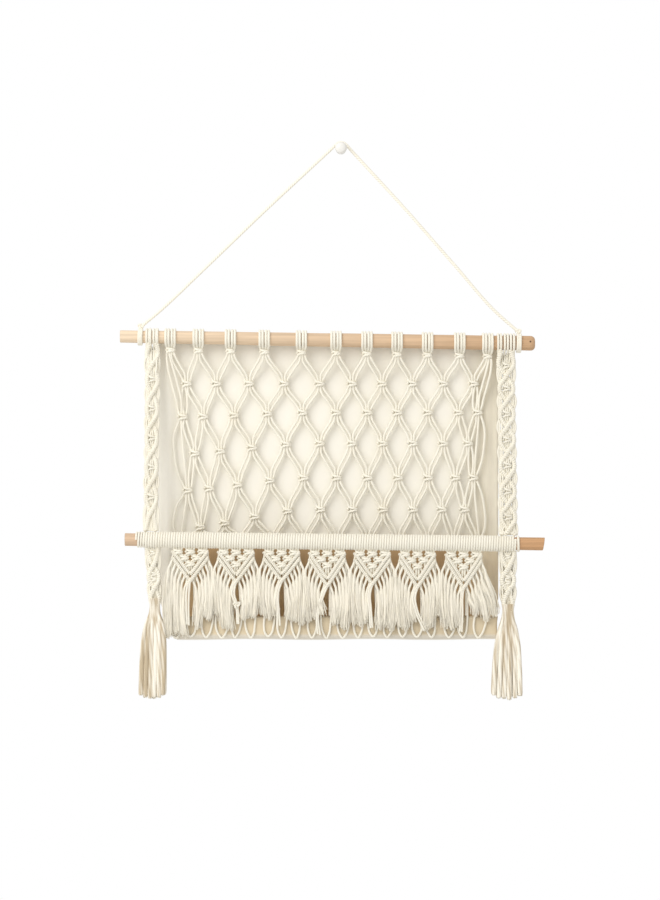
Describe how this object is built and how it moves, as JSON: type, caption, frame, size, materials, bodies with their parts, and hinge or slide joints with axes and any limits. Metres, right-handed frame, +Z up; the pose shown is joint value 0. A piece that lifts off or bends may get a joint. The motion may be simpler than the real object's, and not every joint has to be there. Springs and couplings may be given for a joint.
{
  "type": "macrame wall shelf with wooden rods and wall peg",
  "caption": "Macrame wall shelf: a knotted net and canvas pocket hung between two wooden rods, with side braids, fringed chevrons and tassels, on a cord over a wall peg.",
  "frame": {"origin": "centre of the wall peg's flat back face, on the wall", "axes": "+Z up, +Y into the wall, +X to the right as seen from the front; the shelf hangs in front of the wall, towards -Y"},
  "size_m": [0.5132, 0.0606, 0.6783],
  "materials": {
    "wood": "plain sanded beech, matt",
    "peg": "smooth white",
    "cord": "natural cream twisted cotton cord",
    "canvas": "natural cream plain-woven cotton canvas"
  },
  "bodies": {
    "root": {"upper_rod": "wood", "lower_rod": "wood", "wall_peg": "peg", "hanging_cord": "cord", "tie_left": "cord", "tie_right": "cord", "net": "cord", "canvas": "canvas", "rod_wrap": "cord", "braid_left": "cord", "braid_right": "cord", "tassel_left": "cord", "tassel_right": "cord", "chevron_1": "cord", "chevron_2": "cord", "chevron_3": "cord", "chevron_4": "cord", "chevron_5": "cord", "chevron_6": "cord", "chevron_7": "cord"}
  },
  "joints": []
}
